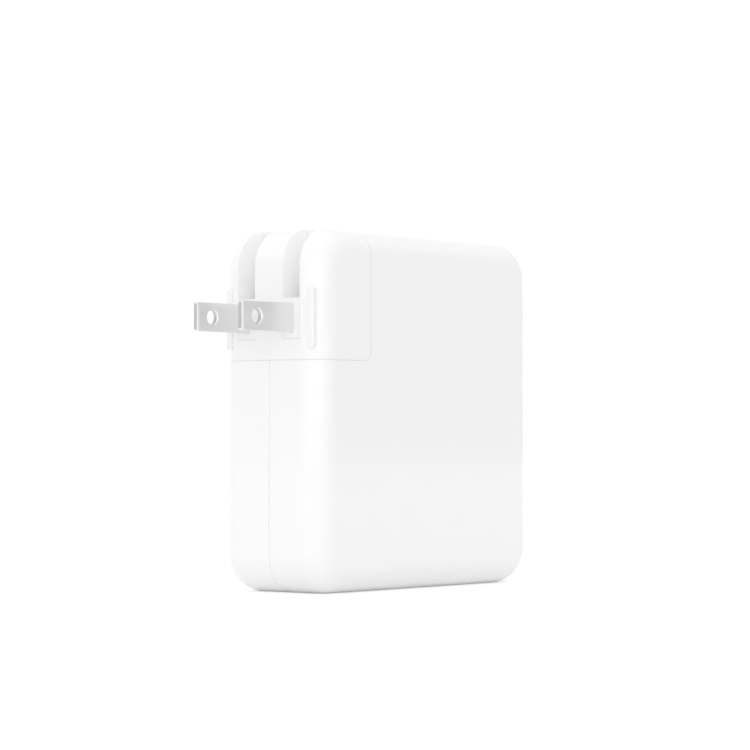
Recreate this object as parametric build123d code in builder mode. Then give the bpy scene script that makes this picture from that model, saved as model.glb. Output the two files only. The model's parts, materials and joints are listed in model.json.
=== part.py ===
"""A laptop power adapter: a square two-shell housing with a removable corner plug and two folding blades.

Millimetres. The origin is the centre of the bottom rest face. +Z is up, X runs along the long side with
the blades pointing to -X, and the big front face looks to -Y.
"""

import os
from math import sqrt

from build123d import *

os.makedirs("parts", exist_ok=True)

# ---- driving dimensions -------------------------------------------------------------------------

# housing
body_length = 80.0
body_depth = 29.0
body_height = 80.0
corner_radius = 8.7
edge_radius = 5.8
wall = 2.0
seam_width = 0.16
seam_depth = 0.3
lip_thickness = 0.9
lip_height = 1.0
lip_gap = 0.05

# removable corner plug
plug_length = 17.7
plug_height = 28.95
plug_gap = 0.08
plug_corner_radius = 2.0

# blades and their hinge
blade_spread = 12.7
blade_reach = 17.0
blade_width = 6.35
blade_thickness = 1.52
blade_above_seam = 9.15
blade_tip_radius = 0.5
blade_bevel_length = 0.7
blade_bevel_depth = 0.32
blade_hole_radius = 1.6
blade_hole_from_face = 12.1
blade_hole_rim = 0.3
blade_root = 1.0
hinge_radius = 3.5
block_below_blade = 1.4
block_above_blade = 1.2
block_behind_axis = 1.5
block_width = 4.7
block_gap = 0.07
axle_radius = 0.8
axle_gap = 0.05
axle_reach = 2.4
axle_end_gap = 0.2
axle_chamfer = 0.15
bar_radius = 2.6
bar_gap = 0.2
groove_depth = 8.6
swing_gap = 0.2

# standoff ribs beside the blades
rib_spread = 23.2
rib_width = 1.7
rib_length = 13.6
rib_depth = 4.0
rib_corner = 0.6
rib_rounding = 0.3

# inlet, figure-eight connector and locking stud
pin_pitch = 8.6
pin_radius = 1.2
inlet_x = -30.0
inlet_lobe = 3.3
inlet_waist = 4.4
inlet_depth = 10.5
boss_gap = 0.3
boss_length = 9.8
sleeve_gap = 0.2
sleeve_thickness = 0.4
stud_above_seam = 12.3
stud_stem_radius = 1.8
stud_head_radius = 3.6
stud_head_thickness = 1.1
slot_plate_thickness = 1.0
slot_gap = 0.35

# USB-C receptacle in the side opposite the blades
usb_opening_length = 8.34
usb_opening_width = 2.56
usb_wall = 0.3
usb_depth = 7.3
usb_contact_count = 12
usb_contact_pitch = 0.5
usb_inset = 0.25
usb_end_flat = 0.01

# circuit board and the stacks on its two sides
board_thickness = 1.2
board_rear = 10.0
board_inset = 4.0
sheet_thickness = 0.3
spreader_thickness = 0.8
lead_half = 0.3
disc_stand_off = 0.8

# how far a cutting solid runs past what it cuts
past = 1.0

# ---- derived places -----------------------------------------------------------------------------

half_length = body_length / 2
half_depth = body_depth / 2
face_x = -half_length
inner_y = half_depth - wall
seam_x = face_x + plug_length
seam_z = body_height - plug_height
recess_x = seam_x + plug_gap
recess_z = seam_z - plug_gap
recess_back = recess_x + wall
recess_under = recess_z - wall
blade_z = seam_z + blade_above_seam
blade_y = blade_spread / 2
block_bottom = blade_z - blade_width / 2 - block_below_blade
block_top = blade_z + blade_width / 2 + block_above_blade
hinge_x = face_x + hinge_radius
hinge_z = block_bottom + hinge_radius
block_back = hinge_x + block_behind_axis
swing_radius = sqrt((block_top - hinge_z) ** 2 + hinge_radius**2) + swing_gap
groove_width = block_width + 2 * block_gap
groove_floor = face_x + groove_depth
stud_z = seam_z + stud_above_seam
board_front = board_rear - board_thickness
usb_z = body_height / 2
far = 2 * body_length


# ---- helpers ------------------------------------------------------------------------------------


def finish(piece, name):
    """Labels a finished piece and writes its STEP file"""
    piece.part.label = name
    export_step(piece.part, f"parts/{name}.step")


def brick(x, y, z, mode=Mode.ADD):
    """A rectangular block, given by its low and high value along each axis"""
    centre = ((x[0] + x[1]) / 2, (y[0] + y[1]) / 2, (z[0] + z[1]) / 2)
    with Locations(centre):
        Box(x[1] - x[0], y[1] - y[0], z[1] - z[0], mode=mode)


def rod_along_y(x, z, radius, y, mode=Mode.ADD):
    """A cylinder along Y between two values of y"""
    with Locations((x, (y[0] + y[1]) / 2, z)):
        Cylinder(radius, y[1] - y[0], rotation=(90, 0, 0), mode=mode)


def rod_along_x(y, z, radius, x, mode=Mode.ADD):
    """A cylinder along X between two values of x"""
    with Locations(((x[0] + x[1]) / 2, y, z)):
        Cylinder(radius, x[1] - x[0], rotation=(0, 90, 0), mode=mode)


def rod_along_z(x, y, radius, z, mode=Mode.ADD):
    """A cylinder along Z between two values of z"""
    with Locations((x, y, (z[0] + z[1]) / 2)):
        Cylinder(radius, z[1] - z[0], mode=mode)


def body_outline(inset, mode=Mode.ADD):
    """The adapter's outline seen from the front, set in by an inset, drawn in the open sketch"""
    length = body_length - 2 * inset
    height = body_height - 2 * inset
    with Locations((0, body_height / 2)):
        RectangleRounded(length, height, corner_radius - inset, mode=mode)


def body_form(inset):
    """The rounded outer form of the adapter, or the same form set in by a wall"""
    with BuildPart() as form:
        with BuildSketch(Plane.XZ):
            body_outline(inset)
        extrude(amount=half_depth - inset, both=True)
        fillet(form.faces().filter_by(Axis.Y).edges(), edge_radius - inset)
    return form.part


def plug_corner(grow):
    """The corner that the plug takes out of the body, grown by a gap or a wall"""
    with BuildPart() as corner:
        with BuildSketch(Plane.XZ) as side:
            with BuildLine():
                Polyline(
                    (-far, seam_z - grow),
                    (seam_x + grow, seam_z - grow),
                    (seam_x + grow, far),
                    (-far, far),
                    close=True,
                )
            make_face()
            inner = side.vertices().group_by(Axis.X)[-1].sort_by(Axis.Y)[0]
            fillet(inner, plug_corner_radius + grow)
        extrude(amount=body_depth, both=True)
    return corner.part


def outline_ring(outer_inset, inner_inset, y):
    """A frame along the body's outline between two insets, from one value of y to another"""
    with BuildPart() as ring:
        with BuildSketch(Plane.XZ.offset(-y[0])):
            body_outline(outer_inset)
            body_outline(inner_inset, Mode.SUBTRACT)
        extrude(amount=y[0] - y[1])
    return ring.part


def figure_eight(lobe, waist):
    """The two-lobed section of the inlet and of the boss that fits it, drawn in the open sketch"""
    with Locations((0, -pin_pitch / 2), (0, pin_pitch / 2)):
        Circle(lobe)
    Rectangle(waist, pin_pitch)


def receptacle_section(length, width):
    """The round-ended section of the receptacle, drawn in the open sketch"""
    with Locations((0, usb_z)):
        RectangleRounded(width, length, width / 2 - usb_end_flat)


# ---- shells -------------------------------------------------------------------------------------

cavity_form = body_form(wall) - plug_corner(plug_gap + wall)
inlet_cut_x = (inlet_x - 6.5, inlet_x + 6.5)
inlet_cut_y = (-9.5, 9.5)
usb_outer_length = usb_opening_length + 2 * usb_wall
usb_outer_width = usb_opening_width + 2 * usb_wall
post_radius = 2.0
post_places = ((-33.0, 8.0), (33.0, 8.0), (33.0, 72.0), (-15.5, 73.0))

with BuildPart() as housing:
    add(body_form(0))
    add(plug_corner(plug_gap), mode=Mode.SUBTRACT)
    add(cavity_form, mode=Mode.SUBTRACT)
    # way for the inlet through the recess floor
    brick(inlet_cut_x, inlet_cut_y, (recess_under - past, recess_z + past), Mode.SUBTRACT)
    # hole for the locking stud through the recess wall
    rod_along_x(0, stud_z, stud_stem_radius, (recess_x - past, recess_back + past), Mode.SUBTRACT)
    # opening for the receptacle
    with BuildSketch(Plane.YZ.offset(half_length + past)):
        receptacle_section(usb_outer_length, usb_outer_width)
    extrude(amount=-(wall + 2 * past), mode=Mode.SUBTRACT)
    # fine groove along the seam between the two shells
    add(outline_ring(-past, seam_depth, (-seam_width / 2, seam_width / 2)), mode=Mode.SUBTRACT)

lip_outer = wall - lip_thickness
no_lip_x = (half_length - 2 * wall, half_length)
no_lip_y = (0.001, lip_height + past)
no_lip_z = (usb_z - usb_outer_length, usb_z + usb_outer_length)

with BuildPart() as front_shell:
    add(housing.part)
    split(bisect_by=Plane.XZ, keep=Keep.TOP)
    # tongue that enters the rear shell
    add(outline_ring(lip_outer, wall, (0, lip_height)) - plug_corner(plug_gap + wall))
    brick(no_lip_x, no_lip_y, no_lip_z, Mode.SUBTRACT)
finish(front_shell, "front_shell")

with BuildPart() as rear_shell:
    add(housing.part)
    split(bisect_by=Plane.XZ, keep=Keep.BOTTOM)
    lip_space = outline_ring(lip_outer - lip_gap, wall + past, (-past, lip_height + lip_gap))
    kept_wall = plug_corner(plug_gap + wall)
    add(lip_space - kept_wall, mode=Mode.SUBTRACT)
    # posts that carry the board
    for post_x, post_z in post_places:
        rod_along_y(post_x, post_z, post_radius, (board_rear, inner_y + past))
finish(rear_shell, "rear_shell")

# ---- inlet --------------------------------------------------------------------------------------

inlet_floor = recess_z - inlet_depth
inlet_bottom = inlet_floor - 2.2
flange_thickness = 1.8
flange_reach = 0.9
pin_rounding = 0.9
tail_radius = 0.7
tail_length = 4.0
pin_top = recess_z - 1.6
wire_bend = 2.0
wire_drop = 4.0
wire_step = 4.0

with BuildPart() as ac_inlet_body:
    brick(inlet_cut_x, inlet_cut_y, (inlet_bottom, recess_z))
    brick(
        (inlet_cut_x[0] - flange_reach, inlet_cut_x[1] + flange_reach),
        (inlet_cut_y[0] - flange_reach, inlet_cut_y[1] + flange_reach),
        (recess_under - flange_thickness, recess_under),
    )
    with BuildSketch(Plane((inlet_x, 0, recess_z))):
        figure_eight(inlet_lobe, inlet_waist)
    extrude(amount=-inlet_depth, mode=Mode.SUBTRACT)
    pin_bore = (inlet_bottom - past, inlet_floor + past)
    for side in (-1, 1):
        rod_along_z(inlet_x, side * pin_pitch / 2, pin_radius, pin_bore, Mode.SUBTRACT)
finish(ac_inlet_body, "ac_inlet_body")

for pole, side in (("line", -1), ("neutral", 1)):
    pole_y = side * pin_pitch / 2
    with BuildPart() as inlet_pin:
        rod_along_z(inlet_x, pole_y, pin_radius, (inlet_bottom, pin_top))
        fillet(inlet_pin.edges().sort_by(Axis.Z)[-1], pin_rounding)
        rod_along_z(inlet_x, pole_y, tail_radius, (inlet_bottom - tail_length, inlet_bottom))
    finish(inlet_pin, f"inlet_pin_{pole}")

    wire_top = inlet_bottom - tail_length
    wire_bottom = wire_top - wire_drop - (wire_step if side < 0 else 0)
    with BuildPart() as inlet_wire:
        with BuildLine() as wire_path:
            FilletPolyline(
                (inlet_x, pole_y, wire_top),
                (inlet_x, pole_y, wire_bottom),
                (inlet_x, board_front, wire_bottom),
                radius=wire_bend,
            )
        with BuildSketch(Plane((inlet_x, pole_y, wire_top), z_dir=(0, 0, -1))):
            Circle(tail_radius)
        sweep(path=wire_path.wires()[0])
    finish(inlet_wire, f"inlet_wire_{pole}")

# ---- locking stud -------------------------------------------------------------------------------

stud_neck_end = seam_x - slot_plate_thickness - 0.25
stud_head_end = stud_neck_end - stud_head_thickness
stud_head_rounding = 0.4
stud_tail = 0.4
retainer_thickness = 1.2
retainer_half = 5.0

with BuildPart() as locking_stud:
    stud_end = recess_back + retainer_thickness + stud_tail
    rod_along_x(0, stud_z, stud_stem_radius, (stud_neck_end, stud_end))
    rod_along_x(0, stud_z, stud_head_radius, (stud_head_end, stud_neck_end))
    fillet(locking_stud.edges().sort_by(Axis.X)[0], stud_head_rounding)
finish(locking_stud, "locking_stud")

with BuildPart() as stud_retainer:
    retainer_x = (recess_back, recess_back + retainer_thickness)
    retainer_z = (stud_z - retainer_half, stud_z + retainer_half)
    brick(retainer_x, (-retainer_half, retainer_half), retainer_z)
    fillet(stud_retainer.edges().filter_by(Axis.X), 1.0)
    stud_bore = (retainer_x[0] - past, retainer_x[1] + past)
    rod_along_x(0, stud_z, stud_stem_radius, stud_bore, Mode.SUBTRACT)
finish(stud_retainer, "stud_retainer")

# ---- circuit board ------------------------------------------------------------------------------

board_corner = 6.0
board_notch_x = recess_back + 0.6
board_notch_z = 36.0

with BuildPart() as main_pcb:
    with BuildSketch(Plane.XZ.offset(-board_front)):
        with Locations((0, body_height / 2)):
            RectangleRounded(body_length - 2 * board_inset, body_height - 2 * board_inset, board_corner)
        with Locations((board_notch_x, board_notch_z)):
            Rectangle(body_length, body_height, align=(Align.MAX, Align.MIN), mode=Mode.SUBTRACT)
    extrude(amount=-board_thickness)
finish(main_pcb, "main_pcb")


def tall(height):
    """The span along Y of a component of that height on the board's front"""
    return (board_front - height, board_front)


def packed_box(name, x, z, height, rounding=0.4):
    """A moulded or boxed component that stands on the board"""
    with BuildPart() as component:
        brick(x, tall(height), z)
        fillet(component.faces().sort_by(Axis.Y)[0].edges(), rounding)
    finish(component, name)


def lead(x, y, z):
    """A square component lead along Y, round one place of the board"""
    brick((x - lead_half, x + lead_half), y, (z - lead_half, z + lead_half))


def disc_capsule(x, z, radius, lead_spread):
    """A dipped disc on edge, with its two leads, added to the open part"""
    centre_y = board_front - radius - disc_stand_off
    rod_along_x(centre_y, z, radius, x)
    middle = (x[0] + x[1]) / 2
    for lead_z in (z - lead_spread / 2, z + lead_spread / 2):
        lead(middle, (centre_y, board_front), lead_z)


# ---- mains side ---------------------------------------------------------------------------------

fuse_x = (-17.0, -7.0)
fuse_y = board_front - 2.6
fuse_z = 6.6
fuse_radius = 2.2
with BuildPart() as fuse:
    rod_along_x(fuse_y, fuse_z, fuse_radius, fuse_x)
    for lead_x in (fuse_x[0] + lead_half, fuse_x[1] - lead_half):
        lead(lead_x, (fuse_y, board_front), fuse_z)
finish(fuse, "fuse")

choke_x = -26.3
choke_z = 18.0
core_inner = 3.9
core_outer = 6.9
core_height = 6.0
winding_thickness = 0.9
winding_sweep = 130


def toroid_section(grow):
    """The rectangular section of the choke's ring, drawn to one side of its axis"""
    width = core_outer - core_inner + 2 * grow
    with Locations((core_inner - grow, 0)):
        Rectangle(width, core_height + 2 * grow, align=(Align.MIN, Align.CENTER))


choke_y = board_front - core_height / 2 - winding_thickness
choke_plane = Plane((choke_x, choke_y, choke_z), x_dir=(1, 0, 0), z_dir=(0, 0, -1))
choke_axis = Axis((choke_x, choke_y, choke_z), (0, 1, 0))

with BuildPart() as emi_choke_core:
    with BuildSketch(choke_plane):
        toroid_section(0)
    revolve(axis=choke_axis)
finish(emi_choke_core, "emi_choke_core")

with BuildPart() as emi_choke_windings:
    for start in (-winding_sweep / 2, 180 - winding_sweep / 2):
        with BuildSketch(choke_plane.rotated((0, start, 0))):
            toroid_section(winding_thickness)
        revolve(axis=choke_axis, revolution_arc=winding_sweep)
    add(emi_choke_core.part, mode=Mode.SUBTRACT)
finish(emi_choke_windings, "emi_choke_windings")

packed_box("x_capacitor", (-34.0, -20.0), (4.4, 9.2), 11.0)

with BuildPart() as varistor:
    disc_capsule((-5.0, -1.6), 9.4, 4.4, 5.0)
finish(varistor, "varistor")

with BuildPart() as inrush_thermistor:
    disc_capsule((1.0, 5.0), 9.4, 4.0, 5.0)
finish(inrush_thermistor, "inrush_thermistor")

with BuildPart() as y_capacitors:
    for disc_x in (8.0, 12.0):
        disc_capsule((disc_x, disc_x + 2.4), 9.0, 3.4, 4.0)
finish(y_capacitors, "y_capacitors")

packed_box("bridge_rectifier", (-17.0, -2.5), (15.2, 18.6), 12.0)

# ---- power stage --------------------------------------------------------------------------------

heatsink_x = (-18.0, 11.0)
heatsink_z = (25.6, 27.2)
heatsink_height = 16.0
heatsink_lip = 2.4
heatsink_fold = 1.4
device_width = 10.0
device_stand_off = 3.2
device_height = 10.8
device_thickness = 4.4
device_lead_pitch = 2.5
with BuildPart() as primary_heatsink:
    brick(heatsink_x, tall(heatsink_height), heatsink_z)
    lip_y = (board_front - heatsink_height, board_front - heatsink_height + heatsink_fold)
    brick(heatsink_x, lip_y, (heatsink_z[1], heatsink_z[1] + heatsink_lip))
finish(primary_heatsink, "primary_heatsink")

for device, device_x in (("pfc_mosfet", -16.0), ("pfc_diode", -3.0)):
    with BuildPart() as power_device:
        device_foot = board_front - device_stand_off
        device_y = (device_foot - device_height, device_foot)
        device_z = (heatsink_z[0] - device_thickness, heatsink_z[0])
        brick((device_x, device_x + device_width), device_y, device_z)
        for place in (1, 2, 3):
            lead_x = device_x + place * device_lead_pitch
            lead(lead_x, (device_foot, board_front), heatsink_z[0] - device_thickness / 2)
    finish(power_device, device)

bulk_x = (-17.0, 14.5)
bulk_radius = 9.0
bulk_y = board_front - bulk_radius - 0.2
bulk_z = 65.0
bulk_rounding = 0.8
crimp_x = (12.2, 13.2)
crimp_depth = 0.7
bulk_lead_spread = 7.6
with BuildPart() as bulk_capacitor:
    rod_along_x(bulk_y, bulk_z, bulk_radius, bulk_x)
    fillet(bulk_capacitor.edges(), bulk_rounding)
    rod_along_x(bulk_y, bulk_z, bulk_radius + past, crimp_x, Mode.SUBTRACT)
    rod_along_x(bulk_y, bulk_z, bulk_radius - crimp_depth, (crimp_x[0] - past, crimp_x[1] + past))
    for lead_z in (bulk_z - bulk_lead_spread / 2, bulk_z + bulk_lead_spread / 2):
        lead_x = bulk_x[1] + 2 * lead_half
        bend_z = (lead_z - lead_half, lead_z + lead_half)
        brick((bulk_x[1] - lead_half, lead_x), (bulk_y, bulk_y + lead_half), bend_z)
        lead(lead_x, (bulk_y, board_front), lead_z)
finish(bulk_capacitor, "bulk_capacitor")


core_plate = 3.2
core_wall = 1.6
core_side_opening = 1.2
winding_clearance = 0.3
bobbin_clearance = 0.1
bobbin_thickness = 1.2


def wound_component(core_name, winding_name, x, z, height, leg_radius):
    """A pot-shaped ferrite core with its round winding inside; returns the bobbin"""
    centre_x = (x[0] + x[1]) / 2
    centre_z = (z[0] + z[1]) / 2
    window = (board_front - height + core_plate, board_front - core_plate)
    outer = (z[1] - z[0]) / 2 - core_wall
    flange_ends = (window[0] + bobbin_thickness, window[1] - bobbin_thickness)
    through = (window[0] - past, window[1] + past)
    with BuildPart() as core:
        brick(x, tall(height), z)
        fillet(core.edges().filter_by(Axis.Y), 1.0)
        rod_along_y(centre_x, centre_z, outer, window, Mode.SUBTRACT)
        opening_half = outer * core_side_opening / 2
        opening_x = (centre_x - opening_half, centre_x + opening_half)
        brick(opening_x, window, (z[0] - past, z[1] + past), Mode.SUBTRACT)
        rod_along_y(centre_x, centre_z, leg_radius, through)
    finish(core, core_name)
    with BuildPart() as winding:
        rod_along_y(centre_x, centre_z, outer - winding_clearance, flange_ends)
        rod_along_y(centre_x, centre_z, leg_radius + bobbin_thickness, window, Mode.SUBTRACT)
    finish(winding, winding_name)
    with BuildPart() as bobbin:
        for flange in ((window[0], flange_ends[0]), (flange_ends[1], window[1])):
            rod_along_y(centre_x, centre_z, outer - bobbin_clearance, flange)
        rod_along_y(centre_x, centre_z, leg_radius + bobbin_thickness, window)
        rod_along_y(centre_x, centre_z, leg_radius, through, Mode.SUBTRACT)
    return bobbin


transformer_x = (-11.5, 12.5)
transformer_z = (31.0, 53.0)
transformer_height = 18.0
transformer_bobbin = wound_component(
    "transformer_core", "transformer_windings", transformer_x, transformer_z, transformer_height, 4.6
)
finish(transformer_bobbin, "transformer_bobbin")

pfc_x = (18.6, 34.4)
pfc_z = (55.5, 71.3)
pfc_height = 15.0
pfc_bobbin = wound_component("pfc_inductor_core", "pfc_inductor_winding", pfc_x, pfc_z, pfc_height, 3.2)
finish(pfc_bobbin, "pfc_inductor_bobbin")

transistor_height = 1.1
mosfet_width = 6.0
mosfet_length = 7.0
with BuildPart() as main_mosfets:
    for low_z in (32.0, 41.0):
        brick((-19.0, -19.0 + mosfet_width), tall(transistor_height), (low_z, low_z + mosfet_length))
finish(main_mosfets, "main_mosfets")

barrier_x = (13.6, 14.3)
barrier_z = (31.0, 53.5)
barrier_height = 17.0
with BuildPart() as isolation_barrier:
    brick(barrier_x, tall(barrier_height), barrier_z)
finish(isolation_barrier, "isolation_barrier")

# ---- low-voltage side ---------------------------------------------------------------------------

rectifier_width = 5.0
rectifier_length = 6.0
with BuildPart() as synchronous_rectifiers:
    for low_z in (32.5, 41.5):
        brick((15.5, 15.5 + rectifier_width), tall(transistor_height), (low_z, low_z + rectifier_length))
finish(synchronous_rectifiers, "synchronous_rectifiers")

output_can_radius = 4.0
output_can_height = 13.0
output_can_rounding = 0.6
with BuildPart() as output_capacitors:
    for can_x in (21.0, 30.0):
        for can_z in (9.2, 18.2):
            rod_along_y(can_x, can_z, output_can_radius, tall(output_can_height))
    fillet(output_capacitors.faces().group_by(Axis.Y)[0].edges(), output_can_rounding)
finish(output_capacitors, "output_capacitors")

packed_box("output_inductor", (24.0, 34.5), (23.2, 29.0), 10.0, 0.8)

chip_width = 3.9
chip_length = 3.4
chip_height = 1.5
with BuildPart() as control_chips:
    for chip_x, chip_z in ((-9.0, 10.6), (2.0, 18.2), (9.0, 18.2)):
        brick((chip_x, chip_x + chip_width), tall(chip_height), (chip_z, chip_z + chip_length))
finish(control_chips, "control_chips")

packed_box("optocoupler", (12.6, 17.2), (24.4, 29.0), 3.5, 0.3)

# ---- receptacle and its own board ---------------------------------------------------------------

usb_x = (half_length - usb_depth, half_length - usb_inset)
usb_back = 1.0
usb_board_thickness = 0.8
usb_board_front = usb_outer_width / 2
usb_board_rear = usb_board_front + usb_board_thickness
pad_spread = 6.0
pad_length = 3.0
pad_half = 0.8

with BuildPart() as usb_receptacle_shell:
    with BuildSketch(Plane.YZ.offset(usb_x[0])):
        receptacle_section(usb_outer_length, usb_outer_width)
    extrude(amount=usb_x[1] - usb_x[0])
    # pads that carry the shell on its board
    for pad_z in (usb_z - pad_spread / 2, usb_z + pad_spread / 2):
        brick((usb_x[0], usb_x[0] + pad_length), (0, usb_board_front), (pad_z - pad_half, pad_z + pad_half))
    with BuildSketch(Plane.YZ.offset(usb_x[0] + usb_back)):
        receptacle_section(usb_opening_length, usb_opening_width)
    extrude(amount=usb_depth, mode=Mode.SUBTRACT)
finish(usb_receptacle_shell, "usb_receptacle_shell")

tongue_x = (usb_x[0] + usb_back, usb_x[1] - 1.6)
tongue_half = 0.35
tongue_length = 6.7
tongue_rounding = 0.5
base_length = 1.2
base_half = 1.0
with BuildPart() as usb_tongue:
    tongue_z = (usb_z - tongue_length / 2, usb_z + tongue_length / 2)
    brick(tongue_x, (-tongue_half, tongue_half), tongue_z)
    fillet(usb_tongue.edges().filter_by(Axis.Y).group_by(Axis.X)[-1], tongue_rounding)
    base_z = (tongue_z[0] + tongue_rounding, tongue_z[1] - tongue_rounding)
    brick((tongue_x[0], tongue_x[0] + base_length), (-base_half, base_half), base_z)
finish(usb_tongue, "usb_tongue")

contact_span = usb_contact_pitch * (usb_contact_count - 1)
contact_half = 0.12
contact_rise = 0.05
contact_x = (tongue_x[0] + base_length, tongue_x[1] - 0.7)
with BuildPart() as usb_contacts:
    for index in range(usb_contact_count):
        contact_z = usb_z - contact_span / 2 + index * usb_contact_pitch
        for side in (-1, 1):
            contact_y = sorted((side * tongue_half, side * (tongue_half + contact_rise)))
            brick(contact_x, contact_y, (contact_z - contact_half, contact_z + contact_half))
finish(usb_contacts, "usb_contacts")

usb_board_x = (21.0, half_length - wall - 0.6)
usb_board_half = 9.0
with BuildPart() as usb_board:
    usb_board_z = (usb_z - usb_board_half, usb_z + usb_board_half)
    brick(usb_board_x, (usb_board_front, usb_board_rear), usb_board_z)
    fillet(usb_board.edges().filter_by(Axis.Y), 1.0)
finish(usb_board, "usb_board")

header_x = (21.6, 24.2)
header_half = 7.0
with BuildPart() as usb_board_header:
    brick(header_x, (usb_board_rear, board_front), (usb_z - header_half, usb_z + header_half))
finish(usb_board_header, "usb_board_header")

delivery_chip_x = (24.0, 28.0)
delivery_chip_height = 0.9
delivery_chip_half = 2.0
with BuildPart() as power_delivery_chip:
    delivery_chip_z = (usb_z - delivery_chip_half, usb_z + delivery_chip_half)
    brick(delivery_chip_x, (usb_board_front - delivery_chip_height, usb_board_front), delivery_chip_z)
finish(power_delivery_chip, "power_delivery_chip")

# ---- heat spreaders, sheets and pads ------------------------------------------------------------


plate_corner = 4.0
plate_gap = 0.8


def notched_plate(name, half_width, y):
    """A flat square plate that leaves the plug's corner free"""
    with BuildPart() as plate:
        brick((-half_width, half_width), y, (usb_z - half_width, usb_z + half_width))
        fillet(plate.edges().filter_by(Axis.Y), plate_corner)
        notch_x = (-far, recess_back + plate_gap)
        brick(notch_x, (y[0] - past, y[1] + past), (recess_under - plate_gap, far), Mode.SUBTRACT)
    finish(plate, name)


front_plate_half = 33.0
rear_plate_half = 30.0
front_plate_y = (-inner_y, -inner_y + spreader_thickness)
front_sheet_y = (front_plate_y[1], front_plate_y[1] + sheet_thickness)
rear_plate_y = (inner_y - spreader_thickness, inner_y)
rear_sheet_y = (rear_plate_y[0] - sheet_thickness, rear_plate_y[0])
notched_plate("front_heat_spreader", front_plate_half, front_plate_y)
notched_plate("front_insulating_sheet", front_plate_half, front_sheet_y)
notched_plate("rear_heat_spreader", rear_plate_half, rear_plate_y)
notched_plate("rear_insulating_sheet", rear_plate_half, rear_sheet_y)

with BuildPart() as front_thermal_pads:
    brick((-9.5, 10.5), (front_sheet_y[1], board_front - transformer_height), (33.0, 51.0))
    brick((20.0, 32.0), (front_sheet_y[1], board_front - pfc_height), (57.5, 69.5))
finish(front_thermal_pads, "front_thermal_pads")

with BuildPart() as rear_thermal_pads:
    brick((-12.0, 14.0), (board_rear, rear_sheet_y[0]), (31.0, 53.0))
    brick((16.0, 29.0), (board_rear, rear_sheet_y[0]), (32.0, 48.0))
finish(rear_thermal_pads, "rear_thermal_pads")

# ---- corner plug --------------------------------------------------------------------------------

cover_thickness = 1.7
cover_top = seam_z + cover_thickness
cover_x = (face_x + 2.4, seam_x - slot_plate_thickness - 2.6)
cover_half = 12.0
room_top = cover_top + 1.5
room_x = (face_x + 4.0, cover_x[1] - 0.4)
room_half = 9.2
foot_thickness = 0.4
spring_x = (hinge_x + 3.7, hinge_x + 4.05)
spring_half = 1.3
spring_top = hinge_z - 1.9
spring_room = 0.4
stem_slot_half = stud_stem_radius + slot_gap
head_room = stud_head_radius + slot_gap
head_room_x = (stud_head_end - 0.3, seam_x - slot_plate_thickness)
plate_half = 7.0
plate_top = stud_z + 5.2
detent_x = (hinge_x + bar_radius + 0.3, hinge_x + bar_radius + 0.7)
detent_half = 2.6
detent_room = 0.4
detent_hook = 0.8
detent_top = (hinge_z + 5.4, hinge_z + 6.0)

with BuildPart() as plug_housing:
    add(body_form(0))
    add(plug_corner(0), mode=Mode.INTERSECT)
    # standoff ribs that fill the rounding out to the flat of the face
    for side in (-1, 1):
        with BuildPart(mode=Mode.PRIVATE) as rib:
            with BuildSketch(Plane.YZ.offset(face_x)):
                with Locations((side * rib_spread / 2, blade_z)):
                    RectangleRounded(rib_width, rib_length, rib_corner)
            extrude(amount=rib_depth)
            fillet(rib.faces().sort_by(Axis.X)[0].edges(), rib_rounding)
        add(rib.part)
    # blade grooves, open at the front and at the top, and the pockets that the hinge blocks swing in
    for side in (-1, 1):
        with BuildSketch(Plane.XZ.offset(-side * blade_y)) as groove:
            with Locations((groove_floor, hinge_z)):
                Rectangle(far, far, align=(Align.MAX, Align.MIN))
            with Locations((hinge_x, hinge_z)):
                Circle(swing_radius)
            with Locations((groove_floor - far, block_bottom - block_gap)):
                Rectangle(far, hinge_z - block_bottom + block_gap, align=(Align.MIN, Align.MIN))
            with Locations((0, block_bottom - block_gap)):
                Rectangle(2 * far, far, align=(Align.CENTER, Align.MAX), mode=Mode.SUBTRACT)
        extrude(amount=groove_width / 2, both=True, mode=Mode.SUBTRACT)
    # bore for the bar between the blocks, and the holes for the axle's ends
    bar_half = blade_y - block_width / 2
    rod_along_y(hinge_x, hinge_z, bar_radius + bar_gap, (-bar_half, bar_half), Mode.SUBTRACT)
    axle_half = blade_y + block_width / 2 + axle_reach
    rod_along_y(hinge_x, hinge_z, axle_radius + axle_gap, (-axle_half, axle_half), Mode.SUBTRACT)
    # room for the bottom cover, and above it the contact room with a slot up to each pocket
    brick(cover_x, (-cover_half, cover_half), (seam_z - past, cover_top), Mode.SUBTRACT)
    brick(room_x, (-room_half, room_half), (seam_z, room_top), Mode.SUBTRACT)
    slot_half = spring_half + spring_room
    slot_x = (spring_x[0] - spring_room, spring_x[1] + spring_room)
    for side in (-1, 1):
        slot_y = (side * blade_y - slot_half, side * blade_y + slot_half)
        brick(slot_x, slot_y, (room_top - past, spring_top + 2 * spring_room), Mode.SUBTRACT)
    # room for the leaf spring behind the bar
    detent_room_half = detent_half + detent_room
    detent_room_x = (hinge_x, detent_x[1] + detent_hook)
    detent_room_y = (-detent_room_half, detent_room_half)
    brick(detent_room_x, detent_room_y, (room_top - past, detent_top[1]), Mode.SUBTRACT)
    # channel for the stud's head, and the seat of the slotted plate
    brick(head_room_x, (-head_room, head_room), (seam_z - past, stud_z), Mode.SUBTRACT)
    rod_along_x(0, stud_z, head_room, head_room_x, Mode.SUBTRACT)
    seat_x = (seam_x - slot_plate_thickness, seam_x + past)
    brick(seat_x, (-plate_half, plate_half), (seam_z - past, plate_top), Mode.SUBTRACT)
finish(plug_housing, "plug_housing")

sleeve_mouth = pin_radius + sleeve_gap
sleeve_outer = sleeve_mouth + sleeve_thickness
sleeve_bottom = seam_z - boss_length + 0.6
flange_top = cover_top + foot_thickness

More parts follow.
